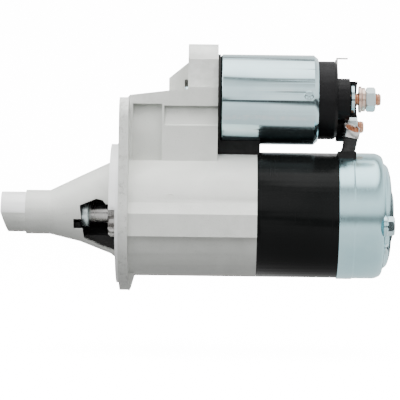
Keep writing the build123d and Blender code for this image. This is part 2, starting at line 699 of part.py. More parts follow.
with BuildPart() as commutator:
    rod(134.6, 148.4, commutator_r)
    rod(134.6, 148.4, shaft_r, mode=Mode.SUBTRACT)
    for degrees in range(0, 360, 18):
        with Locations(Plane(origin=(134.6, 0, 0), x_dir=(1, 0, 0),
                             z_dir=(0, cos(radians(degrees)), sin(radians(degrees))))):
            with Locations((0, 0, commutator_r - 0.8)):
                Box(13.8, 0.6, 2, align=(Align.MIN, Align.CENTER, Align.MIN), mode=Mode.SUBTRACT)
save(commutator, "commutator")

with BuildPart() as bearing_plate:
    rod(plate_front, yoke_start, barrel_bore_r - 0.1)
    rod(plate_front, yoke_start, 12.5, mode=Mode.SUBTRACT)
    for y, z in bolt_places:
        rod(plate_front, yoke_start, bolt_r + 0.1, y, z, Mode.SUBTRACT)
save(bearing_plate, "bearing_plate")

bearings = [(plate_front, yoke_start, 12.5, shaft_r), (152.6, 159.6, 11.0, 4.0)]


def bearing_track(start, end, outer_r, inner_r):
    # the balls' circle and radius, and the groove that they run in
    circle_r = (outer_r + inner_r) / 2
    ball_r = (end - start) * 0.28
    groove = Pos((start + end) / 2, 0, 0) * Rot(0, 90, 0) * Torus(circle_r, ball_r + 0.04)
    return circle_r, ball_r, groove


tracks = [bearing_track(*bearing) for bearing in bearings]

with BuildPart() as bearing_outer_races:
    for (start, end, outer_r, inner_r), (circle_r, ball_r, groove) in zip(bearings, tracks):
        rod(start, end, outer_r)
        rod(start, end, circle_r + ball_r * 0.9, mode=Mode.SUBTRACT)
        add(groove, mode=Mode.SUBTRACT)
save(bearing_outer_races, "bearing_outer_races")

with BuildPart() as bearing_inner_races:
    for (start, end, outer_r, inner_r), (circle_r, ball_r, groove) in zip(bearings, tracks):
        rod(start, end, circle_r - ball_r * 0.9)
        rod(start, end, inner_r, mode=Mode.SUBTRACT)
        add(groove, mode=Mode.SUBTRACT)
save(bearing_inner_races, "bearing_inner_races")

with BuildPart() as bearing_balls:
    for (start, end, outer_r, inner_r), (circle_r, ball_r, groove) in zip(bearings, tracks):
        for degrees in range(0, 360, 45):
            with Locations(((start + end) / 2, *on_circle(circle_r, degrees))):
                Sphere(ball_r)
save(bearing_balls, "bearing_balls")

# ---- magnets and brush gear ----

with BuildPart() as magnets:
    for pole in range(6):
        middle = bolt_angle + 30 + 60 * pole
        with BuildSketch(Plane.YZ.offset(86)) as arc_piece:
            with BuildLine():
                CenterArc((0, 0), yoke_bore_r, middle - 22, 44)
                CenterArc((0, 0), core_r + 1.2, middle - 22, 44)
                for edge in (middle - 22, middle + 22):
                    Line(on_circle(yoke_bore_r, edge), on_circle(core_r + 1.2, edge))
            make_face()
        extrude(arc_piece.sketch, amount=41)
save(magnets, "magnets")

with BuildPart() as brush_plate:
    rod(133.0, 134.4, yoke_bore_r - 0.2)
    rod(133.0, 134.4, commutator_r + 2, mode=Mode.SUBTRACT)
    for y, z in bolt_places:
        rod(133.0, 134.4, bolt_r + 0.1, y, z, Mode.SUBTRACT)
    for y, z in screw_places:
        rod(133.0, 134.4, 2.0, y, z, Mode.SUBTRACT)
save(brush_plate, "brush_plate")

with BuildPart() as brush_boxes:
    for degrees in brush_angles:
        radial = Plane(origin=(brush_x, 0, 0), x_dir=(1, 0, 0),
                       z_dir=(0, cos(radians(degrees)), sin(radians(degrees))))
        with BuildSketch(radial.offset(15)) as tube:
            Rectangle(brush_size[0] + 2.0, brush_size[1] + 2.0)
            Rectangle(brush_size[0] + 0.2, brush_size[1] + 0.2, mode=Mode.SUBTRACT)
        extrude(tube.sketch, amount=17)
        with BuildSketch(radial.offset(32)) as lid:
            Rectangle(brush_size[0] + 2.0, brush_size[1] + 2.0)
        extrude(lid.sketch, amount=1)
        with BuildSketch(radial.offset(15)) as foot:
            with Locations((-brush_size[0] / 2 - 1.05, 0)):
                Rectangle(2.1, brush_size[1])
        extrude(foot.sketch, amount=16)
save(brush_boxes, "brush_boxes")

for index, degrees in enumerate(brush_angles, start=1):
    radial = Plane(origin=(brush_x, 0, 0), x_dir=(1, 0, 0),
                   z_dir=(0, cos(radians(degrees)), sin(radians(degrees))))
    with BuildPart() as brush:
        with BuildSketch(radial.offset(commutator_r + 0.05)) as outline:
            Rectangle(brush_size[0], brush_size[1])
        extrude(outline.sketch, amount=brush_size[2])
    save(brush, f"brush_{index}")

with BuildPart() as brush_springs:
    for degrees in brush_angles:
        outward = (0, cos(radians(degrees)), sin(radians(degrees)))
        coil_spring((brush_x, *on_circle(25.6, degrees)), 5.8, 2.6, 0.4, 3, outward)
save(brush_springs, "brush_springs")
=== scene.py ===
import json
import math
import random

import bmesh
import bpy
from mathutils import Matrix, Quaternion, Vector

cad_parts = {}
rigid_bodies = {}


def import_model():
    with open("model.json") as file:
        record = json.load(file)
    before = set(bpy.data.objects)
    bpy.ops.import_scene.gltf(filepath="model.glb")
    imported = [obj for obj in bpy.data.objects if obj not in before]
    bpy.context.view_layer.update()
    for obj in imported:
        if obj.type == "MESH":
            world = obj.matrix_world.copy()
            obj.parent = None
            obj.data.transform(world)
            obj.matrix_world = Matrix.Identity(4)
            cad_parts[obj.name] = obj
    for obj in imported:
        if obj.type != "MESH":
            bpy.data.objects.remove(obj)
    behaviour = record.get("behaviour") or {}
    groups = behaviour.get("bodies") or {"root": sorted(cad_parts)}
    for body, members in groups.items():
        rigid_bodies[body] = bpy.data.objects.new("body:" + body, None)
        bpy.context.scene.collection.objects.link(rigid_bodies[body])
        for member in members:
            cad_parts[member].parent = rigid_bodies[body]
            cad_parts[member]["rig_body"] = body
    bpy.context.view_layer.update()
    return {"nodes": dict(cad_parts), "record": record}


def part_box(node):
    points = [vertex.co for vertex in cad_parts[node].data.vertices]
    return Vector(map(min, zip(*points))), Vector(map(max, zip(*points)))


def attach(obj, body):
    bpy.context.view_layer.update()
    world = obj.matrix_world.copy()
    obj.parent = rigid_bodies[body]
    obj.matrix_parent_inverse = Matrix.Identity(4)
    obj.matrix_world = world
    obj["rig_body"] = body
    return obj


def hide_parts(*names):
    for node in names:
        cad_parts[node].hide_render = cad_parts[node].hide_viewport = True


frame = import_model()
nodes = frame["nodes"]
mm = 0.001
print("frame loaded")


def newGroup(name, inputs, outputs):
    # inputs are (name, default) numbers, outputs are (name, socket type)
    group = bpy.data.node_groups.new(name, "ShaderNodeTree")
    for label, default in inputs:
        socket = group.interface.new_socket(name=label, in_out="INPUT", socket_type="NodeSocketFloat")
        socket.default_value = default
    for label, kind in outputs:
        group.interface.new_socket(name=label, in_out="OUTPUT", socket_type=kind)
    start = group.nodes.new("NodeGroupInput")
    end = group.nodes.new("NodeGroupOutput")
    return group, start, end


def addNode(tree, kind, **settings):
    node = tree.nodes.new(kind)
    for key, value in settings.items():
        if key in node.inputs:
            node.inputs[key].default_value = value
        else:
            setattr(node, key, value)
    return node


def mathNode(tree, operation, first, second=None):
    node = addNode(tree, "ShaderNodeMath", operation=operation)
    for index, value in enumerate((first, second)):
        if value is None:
            continue
        if isinstance(value, (int, float)):
            node.inputs[index].default_value = value
        else:
            tree.links.new(value, node.inputs[index])
    return node.outputs[0]


def remap(tree, value, low, high, toLow=0.0, toHigh=1.0):
    node = addNode(tree, "ShaderNodeMapRange", clamp=True)
    for label, number in (("From Min", low), ("From Max", high), ("To Min", toLow), ("To Max", toHigh)):
        node.inputs[label].default_value = number
    tree.links.new(value, node.inputs["Value"])
    return node.outputs["Result"]


def buildCastGrain():
    # sand-like skin of a die casting: pits, ripples and soft flow marks
    group, start, end = newGroup("castGrain", [("Grain Size", 1.0), ("Flow", 1.0)],
                                 [("Height", "NodeSocketFloat"), ("Pits", "NodeSocketFloat"),
                                  ("Flow Mask", "NodeSocketFloat")])
    place = addNode(group, "ShaderNodeTexCoord")
    fine = addNode(group, "ShaderNodeTexNoise", Detail=6.0, Roughness=0.7)
    scaled = mathNode(group, "MULTIPLY", start.outputs["Grain Size"], 900.0)
    group.links.new(place.outputs["Object"], fine.inputs["Vector"])
    group.links.new(scaled, fine.inputs["Scale"])
    pits = addNode(group, "ShaderNodeTexVoronoi", Scale=520.0)
    group.links.new(place.outputs["Object"], pits.inputs["Vector"])
    pitMask = remap(group, pits.outputs["Distance"], 0.05, 0.22, 1.0, 0.0)
    flow = addNode(group, "ShaderNodeTexNoise", Scale=38.0, Detail=3.0, Distortion=1.4)
    group.links.new(place.outputs["Object"], flow.inputs["Vector"])
    flowMask = mathNode(group, "MULTIPLY", remap(group, flow.outputs["Fac"], 0.35, 0.7),
                        start.outputs["Flow"])
    height = mathNode(group, "SUBTRACT", fine.outputs["Fac"], mathNode(group, "MULTIPLY", pitMask, 0.35))
    group.links.new(height, end.inputs["Height"])
    group.links.new(pitMask, end.inputs["Pits"])
    group.links.new(flowMask, end.inputs["Flow Mask"])
    return group


def buildPlating():
    # cloudy, faintly streaked film of zinc plating
    group, start, end = newGroup("platingFilm", [("Cloud Scale", 40.0), ("Streak Scale", 300.0)],
                                 [("Clouds", "NodeSocketFloat"), ("Streaks", "NodeSocketFloat")])
    place = addNode(group, "ShaderNodeTexCoord")
    clouds = addNode(group, "ShaderNodeTexNoise", Detail=4.0, Roughness=0.55)
    group.links.new(place.outputs["Object"], clouds.inputs["Vector"])
    group.links.new(start.outputs["Cloud Scale"], clouds.inputs["Scale"])
    stretch = addNode(group, "ShaderNodeMapping")
    stretch.inputs["Scale"].default_value = (4.0, 0.4, 0.4)
    group.links.new(place.outputs["Object"], stretch.inputs["Vector"])
    streaks = addNode(group, "ShaderNodeTexNoise", Detail=5.0, Roughness=0.6)
    group.links.new(stretch.outputs["Vector"], streaks.inputs["Vector"])
    group.links.new(start.outputs["Streak Scale"], streaks.inputs["Scale"])
    group.links.new(remap(group, clouds.outputs["Fac"], 0.3, 0.7), end.inputs["Clouds"])
    group.links.new(remap(group, streaks.outputs["Fac"], 0.3, 0.7), end.inputs["Streaks"])
    return group


def buildEdgeWear():
    # bright rub marks where edges stand proud
    group, start, end = newGroup("edgeWear", [("Amount", 1.0), ("Breakup", 200.0)],
                                 [("Mask", "NodeSocketFloat")])
    shape = addNode(group, "ShaderNodeNewGeometry")
    place = addNode(group, "ShaderNodeTexCoord")
    spots = addNode(group, "ShaderNodeTexNoise", Detail=4.0)
    group.links.new(place.outputs["Object"], spots.inputs["Vector"])
    group.links.new(start.outputs["Breakup"], spots.inputs["Scale"])
    edge = remap(group, shape.outputs["Pointiness"], 0.52, 0.6)
    mask = mathNode(group, "MULTIPLY", edge, remap(group, spots.outputs["Fac"], 0.35, 0.65))
    group.links.new(mathNode(group, "MULTIPLY", mask, start.outputs["Amount"]), end.inputs["Mask"])
    return group


def buildDust():
    # thin settled dust on faces that look up
    group, start, end = newGroup("dustFilm", [("Amount", 0.3), ("Patch Scale", 60.0)],
                                 [("Mask", "NodeSocketFloat")])
    shape = addNode(group, "ShaderNodeNewGeometry")
    place = addNode(group, "ShaderNodeTexCoord")
    facing = addNode(group, "ShaderNodeSeparateXYZ")
    group.links.new(shape.outputs["Normal"], facing.inputs[0])
    patches = addNode(group, "ShaderNodeTexNoise", Detail=5.0)
    group.links.new(place.outputs["Object"], patches.inputs["Vector"])
    group.links.new(start.outputs["Patch Scale"], patches.inputs["Scale"])
    mask = mathNode(group, "MULTIPLY", remap(group, facing.outputs["Z"], -0.2, 1.0),
                    remap(group, patches.outputs["Fac"], 0.3, 0.7))
    group.links.new(mathNode(group, "MULTIPLY", mask, start.outputs["Amount"]), end.inputs["Mask"])
    return group


castGrain = buildCastGrain()
platingFilm = buildPlating()
edgeWear = buildEdgeWear()
dustFilm = buildDust()


def useGroup(tree, group, **values):
    node = tree.nodes.new("ShaderNodeGroup")
    node.node_tree = group
    for key, value in values.items():
        node.inputs[key.replace("_", " ")].default_value = value
    return node


def newMaterial(name, roughness=0.5, metallic=0.0, **shader):
    material = bpy.data.materials.new(name)
    material.use_nodes = True
    tree = material.node_tree
    surface = tree.nodes["Principled BSDF"]
    surface.inputs["Roughness"].default_value = roughness
    surface.inputs["Metallic"].default_value = metallic
    for key, value in shader.items():
        surface.inputs[key.replace("_", " ")].default_value = value
    return material, tree, surface


def blendColours(tree, factor, first, second):
    node = addNode(tree, "ShaderNodeMix", data_type="RGBA")
    tree.links.new(factor, node.inputs[0])
    for index, value in ((6, first), (7, second)):
        if isinstance(value, tuple):
            node.inputs[index].default_value = (*value, 1.0)
        else:
            tree.links.new(value, node.inputs[index])
    return node.outputs[2]


def addBump(tree, surface, height, distance, strength=1.0):
    bump = addNode(tree, "ShaderNodeBump", Strength=strength, Distance=distance)
    tree.links.new(height, bump.inputs["Height"])
    tree.links.new(bump.outputs["Normal"], surface.inputs["Normal"])
    return bump


castFinish = {"light": (0.70, 0.715, 0.685), "dark": (0.60, 0.615, 0.585), "machined": (0.97, 0.98, 0.98),
              # the near-black colour here is painted shade, for the nose's inside and the window's far wall
              "stain": (0.33, 0.33, 0.31), "paintedShade": (0.012, 0.012, 0.012), "paintedShadeRadius": 15.6,
              "skinRoughness": 0.5, "machinedRoughness": 0.34, "metal": 0.3,
              "landEnd": -57.4, "ringRadius": 41.6, "ringStart": -6.2, "ringEnd": -0.05,
              # the land's bottom limit keeps the bright turned finish to the land's upper half, a painted
              # highlight
              "flangeStart": 0.3, "flangeEnd": 5.4, "flangeReach": 45.0, "landHighlightBottom": -0.2,
              "shaftSpace": (-28.5, 7.5), "farWallX": (-26.0, -2.1), "farWallY": (5.8, 6.2),
              "farWallZ": (-23.6, 8.9), "turned": (0.84, 0.85, 0.85), "turnedMetal": 0.2,
              "flowRoughness": 0.58}


def rangeMask(tree, value, low, high):
    # 1 between two places given in millimetres
    return mathNode(tree, "MULTIPLY", mathNode(tree, "GREATER_THAN", value, low * mm),
                    mathNode(tree, "LESS_THAN", value, high * mm))


def makeCastAluminium():
    # die-cast skin, with the pilot ring turned bright, the nose land turned bright on its upper half only as
    # a painted highlight, and the shaft's space dark with painted shade
    f = castFinish
    material, tree, surface = newMaterial("castAluminium")
    place = addNode(tree, "ShaderNodeTexCoord")
    split = addNode(tree, "ShaderNodeSeparateXYZ")
    tree.links.new(place.outputs["Object"], split.inputs[0])
    x, y, z = split.outputs
    reach = mathNode(tree, "SQRT", mathNode(tree, "ADD", mathNode(tree, "MULTIPLY", y, y),
                                            mathNode(tree, "MULTIPLY", z, z)))
    # painted highlight: only the upper half of the nose land gets the bright turned finish, the lower half
    # keeps the cast skin
    land = mathNode(tree, "MULTIPLY", mathNode(tree, "LESS_THAN", x, f["landEnd"] * mm),
                    mathNode(tree, "GREATER_THAN", z, f["landHighlightBottom"] * mm))
    ring = mathNode(tree, "MULTIPLY", rangeMask(tree, x, f["ringStart"], f["ringEnd"]),
                    mathNode(tree, "GREATER_THAN", reach, f["ringRadius"] * mm))
    machined = mathNode(tree, "MAXIMUM", land, ring)
    # painted shade: the nose's inside, round the shaft, is coloured near black
    paintedShade = mathNode(tree, "MULTIPLY", rangeMask(tree, x, *f["shaftSpace"]),
                      mathNode(tree, "LESS_THAN", reach, f["paintedShadeRadius"] * mm))
    # painted shade on the window's far wall, seen past the shaft
    windowPaintedShade = mathNode(tree, "MULTIPLY", rangeMask(tree, x, *f["farWallX"]),
                       mathNode(tree, "MULTIPLY", rangeMask(tree, y, *f["farWallY"]),
                                rangeMask(tree, z, *f["farWallZ"])))
    paintedShade = mathNode(tree, "MAXIMUM", paintedShade, windowPaintedShade)
    rim = mathNode(tree, "MULTIPLY", rangeMask(tree, x, f["flangeStart"], f["flangeEnd"]),
                   mathNode(tree, "GREATER_THAN", reach, f["flangeReach"] * mm))
    grain = useGroup(tree, castGrain, Grain_Size=1.0, Flow=1.0)
    wear = useGroup(tree, edgeWear, Amount=0.35, Breakup=300.0)
    skin = blendColours(tree, mathNode(tree, "MULTIPLY", grain.outputs["Flow Mask"], 0.6),
                        f["light"], f["dark"])
    skin = blendColours(tree, mathNode(tree, "MULTIPLY", grain.outputs["Pits"], 0.25), skin, f["stain"])
    # sooty, torn skin on the flange's edge
    torn = addNode(tree, "ShaderNodeTexNoise", Scale=260.0, Detail=6.0, Roughness=0.75)
    tree.links.new(place.outputs["Object"], torn.inputs["Vector"])
    tornMask = mathNode(tree, "MULTIPLY", remap(tree, torn.outputs["Fac"], 0.52, 0.68), rim)
    skin = blendColours(tree, mathNode(tree, "MULTIPLY", tornMask, 0.7), skin, f["stain"])
    skin = blendColours(tree, wear.outputs["Mask"], skin, f["machined"])
    turning = addNode(tree, "ShaderNodeTexWave", wave_type="BANDS", bands_direction="X", Scale=620.0,
                      Distortion=0.6)
    tree.links.new(place.outputs["Object"], turning.inputs["Vector"])
    bright = blendColours(tree, turning.outputs["Fac"], f["machined"], f["turned"])
    body = blendColours(tree, machined, skin, bright)
    tree.links.new(blendColours(tree, paintedShade, body, f["paintedShade"]), surface.inputs["Base Color"])
    metalness = mathNode(tree, "SUBTRACT", remap(tree, machined, 0, 1, f["metal"], f["turnedMetal"]), paintedShade)
    tree.links.new(mathNode(tree, "MAXIMUM", metalness, 0.0), surface.inputs["Metallic"])
    skinRoughness = remap(tree, grain.outputs["Flow Mask"], 0, 1, f["skinRoughness"],
                          f["flowRoughness"])
    smooth = mathNode(tree, "MULTIPLY", machined, f["machinedRoughness"] - f["skinRoughness"])
    tree.links.new(mathNode(tree, "ADD", skinRoughness, smooth), surface.inputs["Roughness"])
    rough = mathNode(tree, "MULTIPLY", grain.outputs["Height"], mathNode(tree, "SUBTRACT", 1.0, machined))
    rough = mathNode(tree, "SUBTRACT", rough, tornMask)
    lathed = mathNode(tree, "MULTIPLY", mathNode(tree, "MULTIPLY", turning.outputs["Fac"], 0.15), machined)
    addBump(tree, surface, mathNode(tree, "ADD", rough, lathed), 0.0002, 0.6)
    return material


def makeZinc(name="zincPlate", tint=(0.66, 0.87, 0.91), deep=(0.57, 0.78, 0.83), roughness=(0.10, 0.18)):
    # bright blue-passivated zinc
    material, tree, surface = newMaterial(name, metallic=1.0)
    film = useGroup(tree, platingFilm, Cloud_Scale=45.0, Streak_Scale=260.0)
    dust = useGroup(tree, dustFilm, Amount=0.1, Patch_Scale=90.0)
    wear = useGroup(tree, edgeWear, Amount=0.4, Breakup=250.0)
    body = blendColours(tree, film.outputs["Clouds"], tint, deep)
    body = blendColours(tree, wear.outputs["Mask"], body, (0.9, 0.92, 0.92))
    tree.links.new(blendColours(tree, dust.outputs["Mask"], body, (0.7, 0.7, 0.68)),
                   surface.inputs["Base Color"])
    level = mathNode(tree, "ADD", mathNode(tree, "MULTIPLY", film.outputs["Streaks"], 0.6),
                     mathNode(tree, "MULTIPLY", film.outputs["Clouds"], 0.4))
    tree.links.new(remap(tree, level, 0, 1, *roughness), surface.inputs["Roughness"])
    addBump(tree, surface, film.outputs["Streaks"], 0.00002, 0.5)
    return material


def makeYokePaint():
    # thick gloss black enamel with slight orange peel, a little scuffed
    material, tree, surface = newMaterial("yokeEnamel", roughness=0.2)
    surface.inputs["Specular IOR Level"].default_value = 0.09
    place = addNode(tree, "ShaderNodeTexCoord")
    peel = addNode(tree, "ShaderNodeTexNoise", Scale=420.0, Detail=2.0)
    tree.links.new(place.outputs["Object"], peel.inputs["Vector"])
    film = useGroup(tree, platingFilm, Cloud_Scale=30.0, Streak_Scale=160.0)
    tree.links.new(blendColours(tree, film.outputs["Clouds"], (0.0035, 0.004, 0.004),
                                (0.006, 0.0065, 0.0065)), surface.inputs["Base Color"])
    tree.links.new(remap(tree, film.outputs["Streaks"], 0, 1, 0.17, 0.28), surface.inputs["Roughness"])
    addBump(tree, surface, peel.outputs["Fac"], 0.00003, 0.4)
    return material


def makeBlackMoulding(name="blackMoulding", colour=(0.006, 0.006, 0.0065), roughness=(0.32, 0.5),
                      grainScale=700.0, depth=0.00003):
    # glass-filled black plastic or rubber with a fine moulded grain
    material, tree, surface = newMaterial(name, Specular_IOR_Level=0.14)
    place = addNode(tree, "ShaderNodeTexCoord")
    grain = addNode(tree, "ShaderNodeTexNoise", Scale=grainScale, Detail=5.0, Roughness=0.65)
    tree.links.new(place.outputs["Object"], grain.inputs["Vector"])
    dust = useGroup(tree, dustFilm, Amount=0.05, Patch_Scale=120.0)
    wear = useGroup(tree, edgeWear, Amount=0.3, Breakup=260.0)
    body = blendColours(tree, wear.outputs["Mask"], colour, tuple(c * 3 for c in colour))
    tree.links.new(blendColours(tree, dust.outputs["Mask"], body, tuple(c * 4 for c in colour)),
                   surface.inputs["Base Color"])
    tree.links.new(remap(tree, grain.outputs["Fac"], 0.3, 0.7, *roughness), surface.inputs["Roughness"])
    addBump(tree, surface, grain.outputs["Fac"], depth, 0.8)
    return material


def makeMetal(name, colour, deep, roughness, streakScale=240.0, metallic=1.0):
    # plain metal, darkened in patches and finely streaked
    material, tree, surface = newMaterial(name, metallic=metallic)
    film = useGroup(tree, platingFilm, Cloud_Scale=120.0, Streak_Scale=streakScale)
    wear = useGroup(tree, edgeWear, Amount=0.6, Breakup=260.0)
    body = blendColours(tree, film.outputs["Clouds"], colour, deep)
    tree.links.new(blendColours(tree, wear.outputs["Mask"], body, tuple(min(1, c * 1.3) for c in colour)),
                   surface.inputs["Base Color"])
    tree.links.new(remap(tree, film.outputs["Streaks"], 0, 1, *roughness), surface.inputs["Roughness"])
    addBump(tree, surface, film.outputs["Streaks"], 0.00002, 0.5)
    return material


def makeBraid():
    # woven sleeve over the field lead: two crossing sets of threads
    material, tree, surface = newMaterial("wovenSleeve", roughness=0.6)
    place = addNode(tree, "ShaderNodeTexCoord")
    weave = []
    for turn in (0.8, -0.8):
        lean = addNode(tree, "ShaderNodeMapping")
        lean.inputs["Rotation"].default_value = (0, turn, 0)
        tree.links.new(place.outputs["Object"], lean.inputs["Vector"])
        threads = addNode(tree, "ShaderNodeTexWave", wave_type="BANDS", bands_direction="Z", Scale=330.0)
        tree.links.new(lean.outputs["Vector"], threads.inputs["Vector"])
        weave.append(threads.outputs["Fac"])
    height = mathNode(tree, "MAXIMUM", *weave)
    tree.links.new(blendColours(tree, height, (0.004, 0.004, 0.004), (0.022, 0.022, 0.022)),
                   surface.inputs["Base Color"])
    addBump(tree, surface, height, 0.00012, 0.9)
    return material


castAluminium = makeCastAluminium()
zincPlate = makeZinc()
yokeEnamel = makeYokePaint()
blackMoulding = makeBlackMoulding()
# name, tint, deeper tint and roughness span
coverZinc = makeZinc("coverZinc", (0.57, 0.85, 0.90), (0.48, 0.76, 0.82), (0.19, 0.29))
nutZinc = makeZinc("nutZinc", (0.88, 0.98, 0.99), (0.76, 0.92, 0.94), (0.34, 0.44))
blackRubber = makeBlackMoulding("blackRubber", (0.008, 0.008, 0.008), (0.5, 0.7), 420.0, 0.00006)
carbonBlock = makeBlackMoulding("carbonBlock", (0.03, 0.028, 0.028), (0.5, 0.65), 900.0, 0.00003)
ferriteBlock = makeBlackMoulding("ferriteBlock", (0.035, 0.035, 0.038), (0.55, 0.7), 600.0, 0.00004)
greyMoulding = makeBlackMoulding("greyMoulding", (0.05, 0.05, 0.055), (0.4, 0.6), 500.0, 0.00003)
turnedSteel = makeMetal("turnedSteel", (0.62, 0.61, 0.60), (0.45, 0.44, 0.43), (0.22, 0.38))
darkLaminate = makeMetal("darkLaminate", (0.2, 0.2, 0.21), (0.12, 0.12, 0.12), (0.4, 0.6))
bareCopper = makeMetal("bareCopper", (0.90, 0.50, 0.34), (0.66, 0.33, 0.22), (0.25, 0.45))
bronzeBush = makeMetal("bronzeBush", (0.72, 0.52, 0.28), (0.55, 0.37, 0.2), (0.35, 0.5))
tinnedMetal = makeMetal("tinnedMetal", (0.86, 0.85, 0.82), (0.7, 0.7, 0.68), (0.2, 0.35))
wovenSleeve = makeBraid()
print("materials made")

slotMaterials = {"cast": castAluminium, "zinc": zincPlate, "yoke_paint": yokeEnamel,
                 "black_moulding": blackMoulding, "bronze": bronzeBush, "steel": turnedSteel,
                 "laminations": darkLaminate, "copper": bareCopper, "tinned": tinnedMetal,
                 "rubber": blackRubber, "sleeve": wovenSleeve, "carbon": carbonBlock,
                 "ferrite": ferriteBlock, "moulding": greyMoulding}
for part in frame["record"]["subparts"]:
    target = nodes[part["node"]]
    target.data.materials.clear()
    target.data.materials.append(slotMaterials[part["material_slot"]])
nodes["stop_collar"].data.materials[0] = nutZinc


# mesh helpers: lengths in profiles are millimetres, meshes are metres
slotOf = {part["node"]: part["material_slot"] for part in frame["record"]["subparts"]}
axisX, axisY, axisZ = Vector((1, 0, 0)), Vector((0, 1, 0)), Vector((0, 0, 1))


def finishPiece(name, bm, cadNode, material=None, smoothAngle=35, stands=True):
    # turns bm into a piece that rides with a CAD node's body and takes that node's slot
    bmesh.ops.recalc_face_normals(bm, faces=bm.faces)
    mesh = bpy.data.meshes.new(name)
    bm.to_mesh(mesh)
    bm.free()
    mesh.materials.append(material or slotMaterials[slotOf[cadNode]])
    mesh.polygons.foreach_set("use_smooth", [True] * len(mesh.polygons))
    mesh.set_sharp_from_angle(angle=math.radians(smoothAngle))
    piece = bpy.data.objects.new(name, mesh)
    bpy.context.scene.collection.objects.link(piece)
    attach(piece, nodes[cadNode]["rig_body"])
    if stands:
        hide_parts(cadNode)
    return piece


def softenEdges(name, width, angle=40, segments=2):
    # the CAD skin keeps its shape; only its sharp edges are rounded
    node = nodes[name]
    weld = node.modifiers.new("weld", "WELD")
    weld.merge_threshold = 0.000004
    bevel = node.modifiers.new("edges", "BEVEL")
    bevel.width = width * mm
    bevel.segments = segments
    bevel.limit_method = "ANGLE"
    bevel.angle_limit = math.radians(angle)
    bevel.harden_normals = True


def roundCorners(points, steps=6):
    # points are (x, radius, corner size); sized corners become short curves
    path = []
    for index, (x, r, corner) in enumerate(points):
        if corner == 0 or index in (0, len(points) - 1):
            path.append((x, r))
            continue
        here = Vector((x, r))
        before = Vector(points[index - 1][:2]) - here
        after = Vector(points[index + 1][:2]) - here
        size = min(corner, before.length * 0.49, after.length * 0.49)
        first = here + before.normalized() * size
        last = here + after.normalized() * size
        for step in range(steps + 1):
            t = step / steps
            spot = first * (1 - t) ** 2 + here * 2 * t * (1 - t) + last * t ** 2
            path.append((spot.x, spot.y))
    return path


def skinRings(bm, rings, closed=False, capped=False):
    # faces between neighbouring rings of vertices; a ring of one vertex is a pole
    pairs = list(zip(rings, rings[1:]))
    if closed:
        pairs.append((rings[-1], rings[0]))
    for a, b in pairs:
        for k in range(max(len(a), len(b))):
            n = (k + 1) % max(len(a), len(b))
            corners = [a[k % len(a)], b[k % len(b)], b[n % len(b)], a[n % len(a)]]
            kept = list(dict.fromkeys(corners))
            if len(kept) > 2:
                bm.faces.new(kept)
    if capped:
        bm.faces.new(rings[0])
        bm.faces.new(rings[-1])


def frameAlong(direction):
    # two unit vectors square to a direction
    side = direction.cross(axisZ if abs(direction.z) < 0.9 else axisY).normalized()
    return side, direction.cross(side).normalized()


def lathe(bm, profile, origin=(0, 0, 0), along=axisX, steps=96, closed=False, radiusAt=None):
    # profile is (distance along, radius); radiusAt(distance, radius, turn) may vary the radius
    along = Vector(along).normalized()
    side, up = frameAlong(along)
    rings = []
    for x, r in profile:
        spine = Vector(origin) * mm + along * x * mm
        if r < 0.01:
            rings.append([bm.verts.new(spine)])
            continue
        ring = []
        for k in range(steps):
            turn = 2 * math.pi * k / steps
            reach = radiusAt(x, r, turn) if radiusAt else r
            ring.append(bm.verts.new(spine + (side * math.cos(turn) + up * math.sin(turn)) * reach * mm))
        rings.append(ring)
    skinRings(bm, rings, closed)


def ringProfile(start, end, inner, outer, corner):
    # closed section of a washer-like ring
    return roundCorners([(start, (inner + outer) / 2, 0), (start, outer, corner), (end, outer, corner),
                         (end, inner, corner), (start, inner, corner), (start, (inner + outer) / 2, 0)])[:-1]


hexRim = 1.02  # a chamfered face's rim, against the distance from axis to flat


def hexReach(across, start, end, chamfer):
    # radius of a hexagon's side at each turn, with its corners chamfered near both faces
    def radiusAt(x, r, turn):
        spread = (turn + math.pi / 6) % (math.pi / 3) - math.pi / 6
        flat = across / 2 / math.cos(spread)
        depth = min(x - start, end - x)
        if depth >= chamfer:
            return flat
        return min(flat, across / 2 * hexRim + max(0.0, depth) / chamfer * across * 0.09)
    return radiusAt


def cutAway(piece, boxes):
    # boxes are (low corner, high corner) in millimetres, taken out of the piece
    bm = bmesh.new()
    for low, high in boxes:
        made = bmesh.ops.create_cube(bm, size=1.0)["verts"]
        for vert in made:
            vert.co = Vector([(low[i] + high[i]) / 2 * mm + vert.co[i] * (high[i] - low[i]) * mm
                              for i in range(3)])
    mesh = bpy.data.meshes.new("cutter")
    bm.to_mesh(mesh)
    bm.free()
    cutter = bpy.data.objects.new("cutter", mesh)
    bpy.context.scene.collection.objects.link(cutter)
    modifier = piece.modifiers.new("cut", "BOOLEAN")
    modifier.object = cutter
    modifier.operation = "DIFFERENCE"
    modifier.solver = "EXACT"
    graph = bpy.context.evaluated_depsgraph_get()
    cut = bpy.data.meshes.new_from_object(piece.evaluated_get(graph))
    piece.modifiers.clear()
    piece.data = cut
    bpy.data.objects.remove(cutter)


def tube(bm, path, radii, steps=16):
    # a round bar through points in millimetres, one radius per point
    points = [Vector(p) * mm for p in path]
    rings = []
    side = None
    for index, point in enumerate(points):
        ahead = points[min(index + 1, len(points) - 1)] - points[max(index - 1, 0)]
        ahead.normalize()
        side = frameAlong(ahead)[0] if side is None else (side - ahead * side.dot(ahead)).normalized()
        up = ahead.cross(side)
        ring = []
        for k in range(steps):
            turn = 2 * math.pi * k / steps
            outward = side * math.cos(turn) + up * math.sin(turn)
            ring.append(bm.verts.new(point + outward * radii[index] * mm))
        rings.append(ring)
    skinRings(bm, rings, capped=True)


# where the first head of each pair stands, across and up from the motor's axis; the other is opposite
headPlaces = {"through_bolts": (31.8 * math.cos(math.radians(9)), 31.8 * math.sin(math.radians(9))),
              "cover_screws": (24.0, 18.0)}

